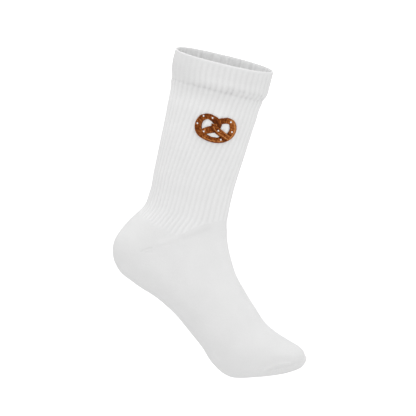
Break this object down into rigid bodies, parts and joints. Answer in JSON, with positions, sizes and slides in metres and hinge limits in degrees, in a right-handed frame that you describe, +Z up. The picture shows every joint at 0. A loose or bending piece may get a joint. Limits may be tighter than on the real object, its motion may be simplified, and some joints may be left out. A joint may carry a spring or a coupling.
{
  "type": "crew sock",
  "caption": "White ribbed crew sock, shaped as on a foot and lying on its side, with a small embroidered pretzel on its leg.",
  "frame": {"origin": "on the surface that the sock lies on, under the middle of its bounding box", "axes": "+Z up, out of the side that carries the motif; +Y along the leg, towards the opening; +X forward, towards the toes"},
  "size_m": [0.2276, 0.3238, 0.0742],
  "materials": {
    "white_knit": "matt cotton knit, ribbed on the leg and plain on the foot",
    "brown_thread": "soft sheen of satin-stitched embroidery thread",
    "white_thread": "soft sheen of knotted embroidery thread"
  },
  "bodies": {
    "root": {"sock": "white_knit", "pretzel_embroidery": "brown_thread", "salt_knot_1": "white_thread", "salt_knot_2": "white_thread", "salt_knot_3": "white_thread", "salt_knot_4": "white_thread", "salt_knot_5": "white_thread", "salt_knot_6": "white_thread", "salt_knot_7": "white_thread", "salt_knot_8": "white_thread"}
  },
  "joints": []
}
